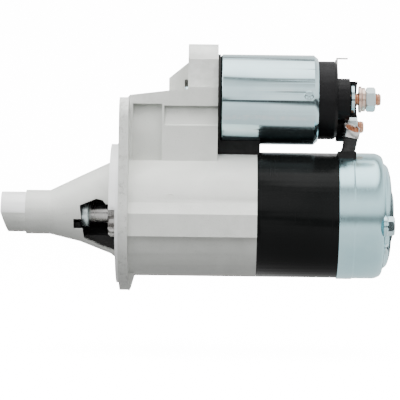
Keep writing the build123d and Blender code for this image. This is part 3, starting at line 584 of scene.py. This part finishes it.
# rear cover: a drawn steel cup with a stepped, domed end
cover = {"wall": 1.5, "start": 131.5, "steps": 160,
         "outer": [(131.5, 38.5, 0), (132.0, 38.7, 0.4), (140.4, 38.7, 0.5), (141.2, 38.25, 0.5),
                   (154.6, 38.2, 2.0), (158.6, 36.2, 3.0), (159.1, 32.4, 1.4), (161.8, 30.6, 2.2),
                   (163.6, 25.0, 2.5), (164.1, 17.2, 1.6), (165.6, 13.0, 2.0), (166.0, 5.0, 2.0),
                   (166.0, 0, 0)],
         "pads": {"through_bolts": 6.9, "cover_screws": 5.1}, "floor": 159.3, "padDepth": 1.4,
         "padBore": 2.6, "leadHole": ((131.0, -16.4, 32.5), (142.2, -2.6, 42.0))}


def buildCover():
    c = cover
    bm = bmesh.new()
    outer = roundCorners(c["outer"], steps=8)
    inner = [(x - c["wall"], max(r - c["wall"], 0)) for x, r in outer if x - c["wall"] > c["start"]]
    lathe(bm, outer + inner[::-1] + [(c["start"], inner[0][1])], steps=c["steps"], closed=True)
    bmesh.ops.remove_doubles(bm, verts=bm.verts, dist=0.00002)
    piece = finishPiece("rearCover", bm, "rear_cover", coverZinc, smoothAngle=50)
    cutAway(piece, [c["leadHole"]])
    # drilled pads that the bolt and screw heads sit on
    face = c["floor"] - 0.05
    for index, (node, reach) in enumerate(c["pads"].items()):
        pads = bmesh.new()
        y, z = headPlaces[node]
        for side in (1, -1):
            lathe(pads, [(c["floor"] - c["padDepth"], reach), (face, reach), (face, c["padBore"])],
                  (0, side * y, side * z), steps=40)
        finishPiece(f"coverPads{index + 1}", pads, "rear_cover", coverZinc, stands=False)
    return piece


buildCover()


# through bolts: flanged hexagon heads with a forged dish on top
bolt = {"shank": 2.5, "start": 42.4, "seat": 159.3, "flange": 6.2, "flangeEnd": 160.5, "headEnd": 164.6,
        "across": 10.0, "chamfer": 1.0, "dish": 3.1}


def buildBolts():
    b = bolt
    bm = bmesh.new()
    for side in (1, -1):
        place = (0, side * headPlaces["through_bolts"][0], side * headPlaces["through_bolts"][1])
        lathe(bm, [(b["start"], 0), (b["start"], b["shank"] - 0.3), (b["start"] + 0.4, b["shank"]),
                   (b["seat"], b["shank"])] +
              roundCorners([(b["seat"], b["shank"], 0), (b["seat"], b["flange"], 0.2),
                            (b["seat"] + 0.7, b["flange"], 0.4), (b["flangeEnd"] + 0.5, 5.0, 0.3),
                            (b["flangeEnd"] + 0.6, 2.0, 0)]), place, steps=48)
        start, end = b["flangeEnd"] - 0.2, b["headEnd"]
        rows = [start + (end - start) * k / 10 for k in range(11)]
        lathe(bm, [(start, 0)] + [(x, 5) for x in rows], place, steps=96,
              radiusAt=hexReach(b["across"], start - 3, end, b["chamfer"]))
        lathe(bm, roundCorners([(end, b["across"] / 2 * hexRim, 0), (end, b["dish"], 0.3),
                                (end - 0.5, b["dish"] - 0.5, 0.2), (end - 0.5, 0, 0)]), place, steps=96)
    bmesh.ops.remove_doubles(bm, verts=bm.verts, dist=0.00002)
    return finishPiece("throughBolts", bm, "through_bolts", smoothAngle=28)


buildBolts()


# cover screws: pan heads with a cross recess
screw = {"start": 133.0, "seat": 159.3, "shank": 2.0, "head": 4.5, "top": 161.8, "slot": 2.3, "width": 0.42}


def buildScrews():
    s = screw
    bm = bmesh.new()
    cuts = []
    for side in (1, -1):
        y, z = side * headPlaces["cover_screws"][0], side * headPlaces["cover_screws"][1]
        lathe(bm, [(s["start"], 0), (s["start"], s["shank"]), (s["seat"], s["shank"])] +
              roundCorners([(s["seat"], s["shank"], 0), (s["seat"], s["head"], 0.3),
                            (s["seat"] + 1.2, s["head"], 1.0), (s["top"] - 0.1, 2.4, 1.6),
                            (s["top"], 0, 0)]), (0, y, z), steps=48)
        depth = s["top"] - 1.3
        cuts += [((depth, y - s["slot"], z - s["width"]), (s["top"] + 1, y + s["slot"], z + s["width"])),
                 ((depth, y - s["width"], z - s["slot"]), (s["top"] + 1, y + s["width"], z + s["slot"]))]
    bmesh.ops.remove_doubles(bm, verts=bm.verts, dist=0.00001)
    piece = finishPiece("coverScrews", bm, "cover_screws", smoothAngle=30)
    cutAway(piece, cuts[0:1] + cuts[2:3])
    cutAway(piece, cuts[1:2] + cuts[3:4])
    return piece


buildScrews()
print("cover and its fasteners made")


# terminal posts, with a rolled thread, and what is stacked on them
posts = {"battery": (-9.0, 70.6), "motor": (5.0, 54.0), "start": 124.6, "neck": 128.2, "headRadius": 5.0,
         "radius": 4.0, "pitch": 1.25, "depth": 0.55, "batteryEnd": 156.8, "motorEnd": 147.5}


def threadedPost(bm, place, end):
    p = posts
    place = (0, *place)
    lathe(bm, [(p["start"], 0), (p["start"], p["headRadius"]), (p["neck"], p["headRadius"]),
               (p["neck"], p["radius"] - p["depth"])], place, steps=48)
    count = int((end - p["neck"] - 0.9) / p["pitch"] * 10)
    rows = [p["neck"] + k * p["pitch"] / 10 for k in range(count + 1)]

    def thread(x, r, turn):
        phase = ((x - p["neck"]) / p["pitch"] - turn / (2 * math.pi)) % 1.0
        ridge = min(1.0, max(0.0, abs(phase - 0.5) * 2.6 - 0.3))
        fade = min(1.0, max(0.0, (end - x) / 1.6))
        return p["radius"] - 0.02 - p["depth"] * (1 - ridge * fade)

    lathe(bm, [(x, p["radius"]) for x in rows], place, steps=48, radiusAt=thread)
    core = p["radius"] - p["depth"]
    lathe(bm, roundCorners([(rows[-1], core, 0), (end - 0.5, core - 0.1, 0.2), (end, core - 0.7, 0.2),
                            (end, 0, 0)]), place, steps=48)


def buildPosts():
    bm = bmesh.new()
    threadedPost(bm, posts["battery"], posts["batteryEnd"])
    threadedPost(bm, posts["motor"], posts["motorEnd"])
    bmesh.ops.remove_doubles(bm, verts=bm.verts, dist=0.00001)
    return finishPiece("terminalPosts", bm, "terminal_studs", postCopper, smoothAngle=40)


stack = {"bore": 4.0, "discSpan": (138.7, 140.8), "discRadius": 9.0, "washerSpan": (143.4, 145.0),
         "washerRadius": 8.0, "springSpan": (145.2, 147.4), "springRadius": 7.2, "springGap": (96, 348),
         "springLift": 0.15, "nutHeight": 5.6, "batteryNut": 147.8, "motorNut": 138.0,
         "across": 13.0, "chamfer": 1.1}


def buildStack():
    s = stack
    place = (0, *posts["battery"])
    bm = bmesh.new()
    lathe(bm, ringProfile(*s["discSpan"], s["bore"], s["discRadius"], 0.35), place, steps=64, closed=True)
    finishPiece("contactPlate", bm, "post_washers", zincPlate)
    bm = bmesh.new()
    lathe(bm, ringProfile(*s["washerSpan"], s["bore"], s["washerRadius"], 0.25), place, steps=64, closed=True)
    finishPiece("flatWasher", bm, "post_washers", washerPlate)
    # split spring washer, its ends sprung a little apart
    bm = bmesh.new()
    low, high = s["springSpan"]
    rings = []
    centre = Vector(place)
    first, sweep = s["springGap"]
    for k in range(61):
        turn = math.radians(first + sweep * k / 60)
        lift = s["springLift"] * (k / 60 - 0.5)
        outward = Vector((0, math.cos(turn), math.sin(turn)))
        section = [(low + 0.1, s["bore"] + 0.1), (low + 0.1, s["springRadius"] - 0.15),
                   (low + 0.25, s["springRadius"]), (high - 0.25, s["springRadius"]),
                   (high - 0.1, s["springRadius"] - 0.15), (high - 0.1, s["bore"] + 0.1)]
        rings.append([bm.verts.new((centre + axisX * (x + lift) + outward * r) * mm) for x, r in section])
    skinRings(bm, rings, capped=True)
    finishPiece("springWasher", bm, "spring_washer", washerPlate)


def buildNuts():
    s = stack
    bm = bmesh.new()
    for start, post in ((s["batteryNut"], "battery"), (s["motorNut"], "motor")):
        end = start + s["nutHeight"]
        rows = [start + (end - start) * k / 14 for k in range(15)]
        rim = s["across"] / 2 * hexRim
        bore = roundCorners([(end, rim, 0), (end, s["bore"] + 0.6, 0.1), (end - 0.6, s["bore"], 0.1),
                             (start + 0.6, s["bore"], 0.1), (start, s["bore"] + 0.6, 0.1), (start, rim, 0)])
        place = (0, *posts[post])
        lathe(bm, [(x, rim) for x in rows], place, steps=96,
              radiusAt=hexReach(s["across"], start, end, s["chamfer"]))
        lathe(bm, bore, place, steps=96)
    bmesh.ops.remove_doubles(bm, verts=bm.verts, dist=0.00002)
    return finishPiece("terminalNuts", bm, "terminal_nuts", nutZinc, smoothAngle=28)


postCopper = makeMetal("postCopper", (0.93, 0.55, 0.38), (0.72, 0.40, 0.28), (0.22, 0.4))
washerPlate = makeMetal("washerPlate", (0.90, 0.72, 0.62), (0.72, 0.50, 0.40), (0.2, 0.35))
buildPosts()
buildStack()
buildNuts()
print("terminals made")


# field lead: sleeve, crimped lug and copper strands
lead = {"top": Vector((138.8, -9.5, 47.5)), "line": Vector((0.2, 0, 0.98)).normalized(), "radius": 4.6,
        "length": 12.5, "barrel": 8.5, "barrelRadius": 5.4, "barrelWall": 0.9, "strand": 0.42,
        "tongueSpan": (135.6, 138.0), "tongueRadius": 8.0, "mouthFaces": Vector((0.35, -0.94, 0)),
        "mouthMiddle": 0.72, "mouthSlant": 0.28, "waist": 0.45, "fold": (-62, 310),
        "neck": [(-7.8, 52.5), (0.5, 50.2), (3.0, 46.6), (-5.2, 47.2), (-9.5, 49.0)],
        "strandLayers": (1, 6, 12, 18, 24), "layerGap": 0.92}


def buildLead():
    d = lead
    # sleeve with a slight waist, its mouth turned in under the lug
    bm = bmesh.new()
    count = 26
    path, radii = [], []
    for k in range(count + 1):
        t = k / count
        path.append(d["top"] - d["line"] * d["length"] * (1 - t) + axisX * d["waist"] * math.sin(math.pi * t))
        radii.append(d["radius"] - d["waist"] * math.sin(math.pi * t) ** 2 + 0.06 * math.sin(38 * t)
                     - (0.5 if k in (0, count) else 0))
    tube(bm, path, radii, steps=48)
    finishPiece("fieldLead", bm, "field_lead", smoothAngle=60)
    # lug: ring tongue, neck and an open barrel folded round the strands
    bm = bmesh.new()
    place = (0, *posts["motor"])
    lathe(bm, ringProfile(*d["tongueSpan"], stack["bore"], d["tongueRadius"], 0.3), place, steps=64,
          closed=True)
    side, up = axisY, d["line"].cross(axisY).normalized()
    rings = []
    first, sweep = d["fold"]
    for k in range(49):
        turn = math.radians(first + sweep * k / 48)
        outward = side * math.cos(turn) + up * math.sin(turn)
        ring = []
        for reach in (d["barrelRadius"], d["barrelRadius"] - d["barrelWall"]):
            steps = [0.0, 0.12, 0.5, 0.86, 1.0]
            if reach < d["barrelRadius"]:
                steps = steps[::-1]
            tall = d["barrel"] * (d["mouthMiddle"] - d["mouthSlant"] * outward.dot(d["mouthFaces"]))
            for t in steps:
                flare = 0.18 * t - 0.2 * (1 - 4 * (t - 0.5) ** 2)  # pinched half way, open at the mouth
                ring.append(bm.verts.new((d["top"] + d["line"] * tall * t
                                          + outward * (reach + flare)) * mm))
        rings.append(ring)
    skinRings(bm, rings, capped=True)
    low, high = d["tongueSpan"]
    ends = [[bm.verts.new((x * mm, y * mm, z * mm)) for y, z in d["neck"]] for x in (low + 0.2, high - 0.2)]
    skinRings(bm, ends, capped=True)
    finishPiece("leadLug", bm, "lead_lug", smoothAngle=40)
    # strands, packed in rings and splayed at the cut
    bm = bmesh.new()
    dice = random.Random(7)
    for layer, many in enumerate(d["strandLayers"]):
        for k in range(many):
            turn = 2 * math.pi * (k + dice.uniform(-0.15, 0.15)) / many
            reach = layer * d["layerGap"]
            outward = side * math.cos(turn) + up * math.sin(turn)
            slant = d["mouthSlant"] * outward.dot(d["mouthFaces"]) * reach / d["barrelRadius"]
            tall = d["barrel"] * (d["mouthMiddle"] - slant) + dice.uniform(-0.7, 0.2)
            spread = dice.uniform(-0.05, 0.05)
            path = [d["top"] + d["line"] * tall * t + outward * (reach * (1 + spread * t))
                    + side * dice.uniform(-0.08, 0.08) + up * dice.uniform(-0.08, 0.08)
                    for t in (0.0, 0.3, 0.6, 0.85, 1.0)]
            tube(bm, path, [d["strand"]] * 4 + [d["strand"] * 0.7], steps=8)
    finishPiece("leadStrands", bm, "lead_strands", strandCopper, smoothAngle=60)


strandCopper = makeMetal("strandCopper", (0.72, 0.34, 0.20), (0.36, 0.15, 0.09), (0.3, 0.5))
buildLead()


# small marks: the stake on the solenoid can and the foundry's curl on the housing
marks = {"stakeX": 112.9, "stakeLift": 2.0, "curlCentre": (31.0, 11.0), "curlReach": (2.2, 1.6),
         "barrelRadius": 38.0, "curlWidth": (0.12, 0.16)}


def buildMarks():
    m = marks
    bm = bmesh.new()
    low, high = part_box("solenoid_can")
    shellRadius = (high.z - low.z) / 2 / mm
    middleZ = (high.z + low.z) / 2 / mm
    lathe(bm, roundCorners([(0.6, 3.3, 0), (-0.05, 3.0, 0.3), (-0.25, 2.3, 0.4), (0.1, 1.6, 0.4),
                            (0.5, 0.9, 0.3), (0.2, 0.5, 0.2), (0.15, 0, 0)]),
          (m["stakeX"], -shellRadius + 0.1, middleZ + m["stakeLift"]), along=axisY, steps=40)
    finishPiece("stakeMark", bm, "solenoid_can", stands=False)
    bm = bmesh.new()
    path = []
    for k in range(13):
        turn = math.radians(20 + 130 * k / 12)
        x = m["curlCentre"][0] + m["curlReach"][0] * math.cos(turn)
        z = m["curlCentre"][1] + m["curlReach"][1] * math.sin(turn)
        path.append((x, -math.sqrt(m["barrelRadius"] ** 2 - z * z) + 0.02, z))
    thin, swell = m["curlWidth"]
    tube(bm, path, [thin + swell * math.sin(math.pi * k / 12) for k in range(13)], steps=10)
    finishPiece("castCurl", bm, "drive_housing", stands=False)


buildMarks()

# CAD nodes that stay, with the width of their rounded edges in millimetres
edgeWidths = {"drive_housing": 0.45, "solenoid_can": 0.5, "yoke_tube": 0.4, "solenoid_cap": 0.5,
              "lever_packing": 0.6, "lead_grommet": 0.7, "signal_terminal": 0.15, "solenoid_screws": 0.2,
              "solenoid_gasket": 0.2, "stop_collar": 0.5, "pinion_gear": 0.25, "drive_shaft": 0.15,
              "clutch_shell": 0.3, "shift_collar": 0.15, "shift_lever": 0.3, "centre_bracket": 0.3,
              "armature_shaft": 0.2, "fixed_core": 0.3, "plunger": 0.4, "brush_plate": 0.15}
for name, width in edgeWidths.items():
    softenEdges(name, width)
print("CAD nodes softened")


# backdrop: a pale bowl that the pieces don't mirror
backdrop = {"floor": -85.5, "flat": 2300.0, "bend": 900.0, "wall": 3200.0, "top": 3600.0}


def buildBackdrop():
    b = backdrop
    profile = [(b["floor"], 0.0), (b["floor"], b["flat"])]
    for k in range(1, 13):
        turn = math.pi / 2 * k / 12
        profile.append((b["floor"] + b["bend"] * (1 - math.cos(turn)),
                        b["flat"] + b["bend"] * math.sin(turn)))
    profile.append((b["top"], b["flat"] + b["bend"]))
    bm = bmesh.new()
    lathe(bm, profile, along=axisZ, steps=96)
    bmesh.ops.reverse_faces(bm, faces=bm.faces)
    mesh = bpy.data.meshes.new("backdrop")
    bm.to_mesh(mesh)
    bm.free()
    mesh.polygons.foreach_set("use_smooth", [True] * len(mesh.polygons))
    material, tree, surface = newMaterial("paleBackdrop", roughness=0.9)
    surface.inputs["Base Color"].default_value = (0.9, 0.9, 0.9, 1)
    surface.inputs["Emission Color"].default_value = (1, 1, 1, 1)
    surface.inputs["Emission Strength"].default_value = lightPlan["backdropGlow"]
    mesh.materials.append(material)
    bowl = bpy.data.objects.new("backdrop", mesh)
    bpy.context.scene.collection.objects.link(bowl)
    bowl.visible_glossy = False
    bowl.visible_diffuse = False
    bowl.visible_shadow = False


# each row of mirror and soft holds a ray's height and its grey, for mirrored and for scattered light
lightPlan = {"backdropGlow": 14.0, "mirrorStrength": 2.1, "softStrength": 1.0,
             "mirror": [(-1.0, 0.42), (-0.5, 0.52), (-0.24, 0.68), (-0.16, 0.03), (0.02, 0.02), (0.05, 0.62),
                        (0.4, 0.74), (0.70, 0.45), (0.765, 0.12), (0.80, 0.10), (0.86, 1.25), (1.0, 1.6)],
             "soft": [(-1.0, 0.14), (-0.3, 0.20), (0.0, 0.52), (0.4, 1.15), (1.0, 2.2)],
             "areas": [("topBox", (0.1, -0.35, 1.1), (0.05, 0, 0), 1.0, 26.0, (1.0, 0.99, 0.97)),
                       ("frontFill", (-0.5, -1.8, 0.9), (0.05, 0, 0.01), 1.0, 16.0, (0.97, 0.99, 1.0)),
                       ("leftRim", (-1.2, 0.1, 0.7), (0, 0, 0), 0.7, 5.0, (1.0, 1.0, 1.0))]}


def buildLights():
    world = bpy.data.worlds.new("studio")
    bpy.context.scene.world = world
    world.use_nodes = True
    tree = world.node_tree
    tree.nodes.clear()
    place = addNode(tree, "ShaderNodeTexCoord")
    split = addNode(tree, "ShaderNodeSeparateXYZ")
    tree.links.new(place.outputs["Generated"], split.inputs[0])
    height = mathNode(tree, "ADD", mathNode(tree, "MULTIPLY", split.outputs["Z"], 0.5), 0.5)
    skies = []
    for rows, strength in (("soft", "softStrength"), ("mirror", "mirrorStrength")):
        ramp = addNode(tree, "ShaderNodeValToRGB")
        stops = ramp.color_ramp.elements
        for index, (z, grey) in enumerate(lightPlan[rows]):
            stop = stops[index] if index < 2 else stops.new(z * 0.5 + 0.5)
            stop.position = z * 0.5 + 0.5
            stop.color = (grey, grey, grey, 1)
        tree.links.new(height, ramp.inputs["Fac"])
        sky = addNode(tree, "ShaderNodeBackground", Strength=lightPlan[strength])
        tree.links.new(ramp.outputs["Color"], sky.inputs["Color"])
        skies.append(sky)
    paths = addNode(tree, "ShaderNodeLightPath")
    soft, mirror = skies
    plain = addNode(tree, "ShaderNodeBackground", Strength=1.0)
    plain.inputs["Color"].default_value = (1, 1, 1, 1)
    first = addNode(tree, "ShaderNodeMixShader")
    tree.links.new(paths.outputs["Is Glossy Ray"], first.inputs[0])
    tree.links.new(soft.outputs[0], first.inputs[1])
    tree.links.new(mirror.outputs[0], first.inputs[2])
    second = addNode(tree, "ShaderNodeMixShader")
    tree.links.new(paths.outputs["Is Camera Ray"], second.inputs[0])
    tree.links.new(first.outputs[0], second.inputs[1])
    tree.links.new(plain.outputs[0], second.inputs[2])
    end = addNode(tree, "ShaderNodeOutputWorld")
    tree.links.new(second.outputs[0], end.inputs["Surface"])
    for name, spot, aim, size, power, colour in lightPlan["areas"]:
        lamp = bpy.data.lights.new(name, "AREA")
        lamp.size = size
        lamp.energy = power
        lamp.color = colour
        source = bpy.data.objects.new(name, lamp)
        source.location = spot
        source.rotation_euler = (Vector(aim) - Vector(spot)).to_track_quat("-Z", "Y").to_euler()
        source.visible_glossy = name == "leftRim"
        bpy.context.scene.collection.objects.link(source)


buildBackdrop()
buildLights()

# camera: long lens, nearly level, the object leaning slightly clockwise
shot = {"aim": Vector((0.0482, 0, 0.0084)), "distance": 1.4, "elevation": 1.5, "azimuth": 0.49,
        "lens": 206.6, "roll": 0.7}


def buildCamera():
    s = shot
    lift = math.radians(s["elevation"])
    swing = math.radians(s["azimuth"])
    away = Vector((math.sin(swing) * math.cos(lift), -math.cos(swing) * math.cos(lift), math.sin(lift)))
    data = bpy.data.cameras.new("shotCamera")
    data.lens = s["lens"]
    data.sensor_width = 36.0
    data.clip_start = 0.05
    data.clip_end = 50
    camera = bpy.data.objects.new("shotCamera", data)
    camera.location = s["aim"] + away * s["distance"]
    turned = (-away).to_track_quat("-Z", "Y")
    camera.rotation_mode = "QUATERNION"
    camera.rotation_quaternion = turned @ Quaternion((0, 0, 1), math.radians(s["roll"]))
    bpy.context.scene.collection.objects.link(camera)
    bpy.context.scene.camera = camera


buildCamera()
print("scene ready")
